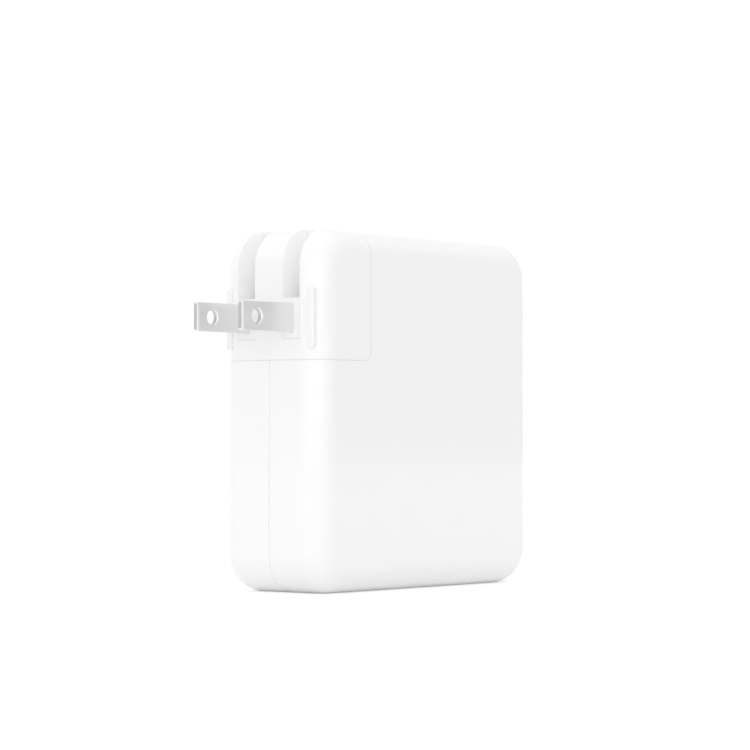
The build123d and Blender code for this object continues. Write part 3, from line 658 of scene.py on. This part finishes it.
def blade_skin(name, node, centre_y):
    """One flat blade: rounded tip corners, bevelled tip, softened long edges and a countersunk hole"""
    half_y = (blade_high.y - blade_low.y) / 2
    half_z = (blade_high.z - blade_low.z) / 2
    tip = blade_low.x
    stations = []
    for set_in, rise in quarter_round(TIP_STEPS):
        stations.append((tip + BLADE_TIP * rise, half_z - BLADE_TIP * set_in))
    stations.append((blade_high.x, half_z))
    rings = []
    for x, reach in stations:
        taper = max(0.0, 1 - (x - tip) / BEVEL_LENGTH)
        thick = half_y - BEVEL_DEPTH * taper
        outline = rounded_rectangle(thick, reach, EDGE_BREAK, SOFT_STEPS)
        rings.append([(x, centre_y + u, blade_z + v) for u, v in outline])
    skin = loft(name, rings)
    hole_x = tip + HOLE_FROM_TIP
    mouth = HOLE_RADIUS + HOLE_RIM
    profile = [
        (centre_y - 2 * half_y, mouth),
        (centre_y - half_y, mouth),
        (centre_y - half_y + HOLE_RIM, HOLE_RADIUS),
        (centre_y + half_y - HOLE_RIM, HOLE_RADIUS),
        (centre_y + half_y, mouth),
        (centre_y + 2 * half_y, mouth),
    ]
    combine(skin, [turned("hole", "xz", (hole_x, blade_z), profile)])
    shade(skin, BLADE_SHARP_ANGLE)
    dress(skin, node, "blade_assembly", nickel)
    # the tip's end face and the hole's wall take the darker nickel: painted shade
    skin.data.materials.append(painted_shade_nickel)
    for polygon in skin.data.polygons:
        centre = polygon.center
        from_hole = math.hypot(centre.x - hole_x, centre.z - blade_z)
        hole_wall = from_hole < HOLE_RADIUS + EDGE_MARGIN and abs(polygon.normal.y) < EDGE_MARGIN
        if centre.x < tip + EDGE_MARGIN or hole_wall:
            polygon.material_index = 1


carrier_skin()
blade_skin("blade_line_skin", "blade_line", (blade_low.y + blade_high.y) / 2)
blade_skin("blade_neutral_skin", "blade_neutral", blade_y)

# ---- skins of the inlet, its pins, and the stud that locks the plug ---------------------------------

PIN_PITCH = 8.6 * MM
INLET_LOBE = 3.3 * MM
INLET_WAIST = 4.4 * MM
INLET_DEPTH = 10.5 * MM
FLANGE_HEIGHT = 1.8 * MM
RIM = 0.3 * MM
PIN_RADIUS = 1.2 * MM
PIN_ROUNDING = 0.9 * MM
TAIL_RADIUS = 0.7 * MM
LOBE_STEPS = 40

inlet_x = (inlet_low.x + inlet_high.x) / 2


def figure_eight(grow):
    """The inlet's two-lobed outline in the XY plane, grown by a distance"""
    lobe = INLET_LOBE + grow
    dip = math.acos((INLET_WAIST / 2 + grow) / lobe)
    points = []
    for start, centre_y in ((-dip, PIN_PITCH / 2), (math.pi - dip, -PIN_PITCH / 2)):
        end = start + math.pi + 2 * dip
        points += arc_outline(inlet_x, centre_y, lobe, start, end, LOBE_STEPS)
    return points


def inlet_skin():
    """The moulded inlet: a flanged block with a two-lobed well, its rim rounded"""
    top = inlet_high.z
    flange_top = top - WALL

    def core_outline(inset):
        return box_outline(
            inlet_low.x + INLET_FLANGE,
            inlet_high.x - INLET_FLANGE,
            inlet_low.y + INLET_FLANGE,
            inlet_high.y - INLET_FLANGE,
            EDGE_BREAK,
            inset,
        )

    skin = soft_prism("ac_inlet_body_skin", "xy", core_outline, inlet_low.z, top, EDGE_BREAK)
    flange = block(
        "flange",
        (inlet_low.x, inlet_low.y, flange_top - FLANGE_HEIGHT),
        (inlet_high.x, inlet_high.y, flange_top),
    )
    combine(skin, [flange], "UNION")
    layers = [(figure_eight(0), top - INLET_DEPTH)]
    for set_in, rise in quarter_round(SOFT_STEPS):
        layers.append((figure_eight(RIM * rise), top - RIM * set_in))
    layers.append((figure_eight(RIM), top + OVERCUT))
    combine(skin, [stack("well", "xy", layers)])
    for side in (-1, 1):
        bore = [(inlet_low.z - OVERCUT, PIN_RADIUS), (top - INLET_DEPTH + OVERCUT, PIN_RADIUS)]
        combine(skin, [turned("bore", "xy", (inlet_x, side * PIN_PITCH / 2), bore)])
    shade(skin)
    dress(skin, "ac_inlet_body", "housing", insert_white)


def pin_skin(node, side):
    """One inlet pin: a round pin with a domed top and a thinner tail below the inlet"""
    low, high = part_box(node)
    profile = [(low.z, TAIL_RADIUS), (inlet_low.z, TAIL_RADIUS), (inlet_low.z, PIN_RADIUS)]
    for set_in, rise in quarter_round(2 * SOFT_STEPS):
        profile.append((high.z - PIN_ROUNDING * set_in, PIN_RADIUS - PIN_ROUNDING * rise))
    skin = turned(node + "_skin", "xy", (inlet_x, side * PIN_PITCH / 2), profile)
    shade(skin)
    dress(skin, node, "housing", contact_nickel)


STUD_HEAD = 1.1 * MM
STUD_STEM = 1.8 * MM
STUD_ROUNDING = 0.4 * MM


def stud_skin():
    """The steel locking stud: a round head with a soft rim on a thinner stem"""
    head_radius = (stud_high.z - stud_low.z) / 2
    profile = []
    for set_in, rise in quarter_round(SOFT_STEPS):
        profile.append((stud_low.x + STUD_ROUNDING * rise, head_radius - STUD_ROUNDING * set_in))
    neck = stud_low.x + STUD_HEAD
    profile += [(neck, head_radius), (neck, STUD_STEM), (stud_high.x, STUD_STEM)]
    skin = turned("locking_stud_skin", "yz", (0, STUD_Z), profile)
    shade(skin)
    dress(skin, "locking_stud", "housing", steel)


def slot_plate_skin():
    """The stamped plate in the plug's side, with the slot that slides over the stud's stem"""

    def plate_outline(inset):
        return box_outline(
            slot_plate_low.y, slot_plate_high.y, SEAM_Z - OVERCUT, slot_plate_high.z, EDGE_BREAK, inset
        )

    low_x = slot_plate_low.x
    high_x = slot_plate_high.x
    skin = soft_prism("stud_slot_plate_skin", "yz", plate_outline, low_x, high_x, EDGE_BREAK)
    combine(skin, [keyhole("slot", STUD_STEM + STUD_GAP, low_x - OVERCUT, high_x + OVERCUT)])
    combine(skin, [plug_cutter("corner", 0, 0)], "INTERSECT")
    shade(skin)
    dress(skin, "stud_slot_plate", "plug_module", steel)


inlet_skin()
pin_skin("inlet_pin_line", -1)
pin_skin("inlet_pin_neutral", 1)
stud_skin()
slot_plate_skin()

# ---- skins of the plug's connector -------------------------------------------------------------------

BOSS_GAP = 0.3 * MM
SLEEVE_THICKNESS = 0.4 * MM
SLEEVE_GAP = 0.2 * MM
SLEEVE_RISE = 0.6 * MM
MOUTH_FLARE = 0.3 * MM

sleeve_inside = PIN_RADIUS + SLEEVE_GAP
sleeve_outside = sleeve_inside + SLEEVE_THICKNESS


def cover_skin():
    """The plug's base cover with the two-lobed boss that enters the inlet"""

    def cover_outline(inset):
        return box_outline(cover_low.x, cover_high.x, cover_low.y, cover_high.y, EDGE_BREAK, inset)

    skin = soft_prism("plug_base_cover_skin", "xy", cover_outline, SEAM_Z, cover_high.z, EDGE_BREAK)
    bottom = cover_low.z
    layers = []
    for set_in, rise in quarter_round(SOFT_STEPS):
        layers.append((figure_eight(-BOSS_GAP - RIM * set_in), bottom + RIM * rise))
    layers.append((figure_eight(-BOSS_GAP), SEAM_Z + OVERCUT))
    combine(skin, [stack("boss", "xy", layers)], "UNION")
    sleeve_bottom = bottom + SLEEVE_RISE
    mouth = [
        (bottom - OVERCUT, sleeve_inside + MOUTH_FLARE),
        (bottom, sleeve_inside + MOUTH_FLARE),
        (bottom + MOUTH_FLARE, sleeve_inside),
        (sleeve_bottom, sleeve_inside),
        (sleeve_bottom, sleeve_outside),
        (cover_high.z + OVERCUT, sleeve_outside),
    ]
    for side in (-1, 1):
        combine(skin, [turned("mouth", "xy", (inlet_x, side * PIN_PITCH / 2), mouth)])
    shade(skin)
    dress(skin, "plug_base_cover", "plug_module", insert_white)


def sleeve_skin(node, side):
    """One contact sleeve in the boss"""
    low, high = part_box(node)
    centre = (inlet_x, side * PIN_PITCH / 2)
    skin = turned(node + "_skin", "xy", centre, [(low.z, sleeve_outside), (high.z, sleeve_outside)])
    bore = [(low.z - OVERCUT, sleeve_inside), (high.z + OVERCUT, sleeve_inside)]
    combine(skin, [turned("bore", "xy", centre, bore)])
    shade(skin)
    dress(skin, node, "plug_module", contact_nickel)


cover_skin()
sleeve_skin("contact_sleeve_line", -1)
sleeve_skin("contact_sleeve_neutral", 1)

# ---- skins of the receptacle ------------------------------------------------------------------------

PORT_WALL = 0.3 * MM
PORT_BACK = 1.0 * MM
PORT_RIM = 0.1 * MM
TONGUE_CORNER = 0.5 * MM
TONGUE_HALF = 0.35 * MM
TONGUE_BASE = 1.2 * MM


def port_skin():
    """The receptacle's drawn steel shell, with a softened mouth"""
    skin = soft_prism(
        "usb_receptacle_shell_skin",
        "yz",
        lambda inset: port_outline(-inset),
        port_low.x,
        port_high.x,
        PORT_RIM,
    )
    layers = [(port_outline(-PORT_WALL), port_low.x + PORT_BACK)]
    for set_in, rise in quarter_round(SOFT_STEPS):
        layers.append((port_outline(PORT_RIM * rise - PORT_WALL), port_high.x - PORT_RIM * set_in))
    layers.append((port_outline(PORT_RIM - PORT_WALL), port_high.x + OVERCUT))
    combine(skin, [stack("opening", "yz", layers)])
    shade(skin)
    dress(skin, "usb_receptacle_shell", "housing", steel)


def tongue_skin():
    """The black tongue that carries the receptacle's contacts"""
    low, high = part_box("usb_tongue")

    def tongue_outline(inset):
        return box_outline(low.x, high.x, low.z, high.z, TONGUE_CORNER, inset)

    skin = soft_prism("usb_tongue_skin", "xz", tongue_outline, -TONGUE_HALF, TONGUE_HALF, EDGE_BREAK)
    base = block(
        "base",
        (low.x, low.y, low.z + TONGUE_CORNER),
        (low.x + TONGUE_BASE, high.y, high.z - TONGUE_CORNER),
    )
    combine(skin, [base], "UNION")
    shade(skin)
    dress(skin, "usb_tongue", "housing", black_plastic)


port_skin()
tongue_skin()

# ---- floor, backdrop, light and camera -------------------------------------------------------------


def seen_directly(nodes, links):
    """1 for what the camera sees, plainly or through gloss or glass, and 0 for what only lights the part"""
    path = nodes.new("ShaderNodeLightPath")
    total = path.outputs["Is Camera Ray"]
    for ray in ("Is Glossy Ray", "Is Transmission Ray"):
        either = nodes.new("ShaderNodeMath")
        either.operation = "MAXIMUM"
        links.new(total, either.inputs[0])
        links.new(path.outputs[ray], either.inputs[1])
        total = either.outputs[0]
    return total


def floor_material(paper_tone, glow):
    """White paper; to the camera it glows just enough to be white where it is lit, so shadows stay"""
    material, nodes, links, shader = new_material("floor_white")
    nodes.remove(shader)
    paper = nodes.new("ShaderNodeBsdfDiffuse")
    paper.inputs["Color"].default_value = (paper_tone, paper_tone, paper_tone, 1)
    light = nodes.new("ShaderNodeEmission")
    scale = nodes.new("ShaderNodeMath")
    scale.operation = "MULTIPLY"
    scale.inputs[1].default_value = glow
    links.new(seen_directly(nodes, links), scale.inputs[0])
    links.new(scale.outputs[0], light.inputs["Strength"])
    total = nodes.new("ShaderNodeAddShader")
    links.new(paper.outputs["BSDF"], total.inputs[0])
    links.new(light.outputs["Emission"], total.inputs[1])
    links.new(total.outputs["Shader"], nodes["Material Output"].inputs["Surface"])
    return material


FLOOR_REACH = 3.0
FLOOR_TONE = 0.90
FLOOR_GLOW = 0.23
floor = mesh_object(
    "floor",
    [
        (-FLOOR_REACH, -FLOOR_REACH, 0),
        (FLOOR_REACH, -FLOOR_REACH, 0),
        (FLOOR_REACH, FLOOR_REACH, 0),
        (-FLOOR_REACH, FLOOR_REACH, 0),
    ],
    [(0, 1, 2, 3)],
)
floor.data.materials.append(floor_material(FLOOR_TONE, FLOOR_GLOW))


def ease(nodes, links, source, start, end):
    """A smooth step: 0 up to the start, 1 from the end on"""
    node = nodes.new("ShaderNodeMapRange")
    node.interpolation_type = "SMOOTHSTEP"
    node.inputs["From Min"].default_value = start
    node.inputs["From Max"].default_value = end
    links.new(source, node.inputs["Value"])
    return node.outputs["Result"]


def tone_ramp(nodes, links, source, stops):
    """Grey tones along a value from 0 to 1, from (place, tone) stops"""
    node = nodes.new("ShaderNodeValToRGB")
    node.color_ramp.interpolation = "EASE"
    while len(node.color_ramp.elements) < len(stops):
        node.color_ramp.elements.new(0.5)
    for element, (place, tone) in zip(node.color_ramp.elements, stops):
        element.position = place
        element.color = (tone, tone, tone, 1)
    links.new(source, node.inputs["Fac"])
    return node.outputs["Color"]


# wall tones by azimuth in degrees, and ceiling tones by the height of the direction
WALL_TONES = (
    (-180, 1.27),
    (-160, 1.48),
    (-130, 1.56),
    (-105, 1.20),
    (-78, 0.55),
    (-42, 0.55),
    (-15, 0.80),
    (12, 1.08),
    (100, 1.08),
    (135, 0.69),
    (165, 1.08),
    (180, 1.27),
)
CEILING_TONES = ((0.76, 0.92), (0.84, 1.10))
CEILING_START = 0.43
CEILING_FULL = 0.49
# the mix node's colour sockets share their names with its other sockets, so they are taken by place
COLOUR_A = 6
COLOUR_B = 7
COLOUR_RESULT = 2
DIFFUSE_BOUNCES = 16


def studio_world():
    """A ring of pale walls whose tone changes round the part, under a large soft light"""
    world = bpy.data.worlds.new("studio")
    bpy.context.scene.world = world
    world.use_nodes = True
    nodes = world.node_tree.nodes
    links = world.node_tree.links
    direction = nodes.new("ShaderNodeTexCoord").outputs["Generated"]
    turn = nodes.new("ShaderNodeTexGradient")
    turn.gradient_type = "RADIAL"
    links.new(direction, turn.inputs["Vector"])
    wall_stops = [(azimuth / 360 + 0.5, tone) for azimuth, tone in WALL_TONES]
    walls = tone_ramp(nodes, links, turn.outputs["Fac"], wall_stops)
    split = nodes.new("ShaderNodeSeparateXYZ")
    links.new(direction, split.inputs[0])
    ceiling = tone_ramp(nodes, links, split.outputs["Z"], CEILING_TONES)
    above_walls = ease(nodes, links, split.outputs["Z"], CEILING_START, CEILING_FULL)
    studio = nodes.new("ShaderNodeMix")
    studio.data_type = "RGBA"
    links.new(above_walls, studio.inputs["Factor"])
    links.new(walls, studio.inputs[COLOUR_A])
    links.new(ceiling, studio.inputs[COLOUR_B])
    links.new(studio.outputs[COLOUR_RESULT], nodes["Background"].inputs["Color"])


studio_world()
bpy.context.scene.cycles.diffuse_bounces = DIFFUSE_BOUNCES

CAMERA_PLACE = (-518.8 * MM, -405.7 * MM, 33.8 * MM)
CAMERA_AZIMUTH = math.radians(38.15)
CAMERA_PITCH = math.radians(1.28)
CAMERA_SENSOR = 36.0
CAMERA_LENS = 137.5
CAMERA_CLIP = (0.01, 20.0)
camera_data = bpy.data.cameras.new("camera")
camera_data.sensor_width = CAMERA_SENSOR
camera_data.lens = CAMERA_LENS
camera = bpy.data.objects.new("camera", camera_data)
bpy.context.scene.collection.objects.link(camera)
camera.location = CAMERA_PLACE
look = Vector((
    math.cos(CAMERA_AZIMUTH) * math.cos(CAMERA_PITCH),
    math.sin(CAMERA_AZIMUTH) * math.cos(CAMERA_PITCH),
    math.sin(CAMERA_PITCH),
))
camera.rotation_mode = "QUATERNION"
camera.rotation_quaternion = look.to_track_quat("-Z", "Y")
camera_data.clip_start = CAMERA_CLIP[0]
camera_data.clip_end = CAMERA_CLIP[1]
bpy.context.scene.camera = camera
bpy.context.scene.view_settings.view_transform = "Standard"
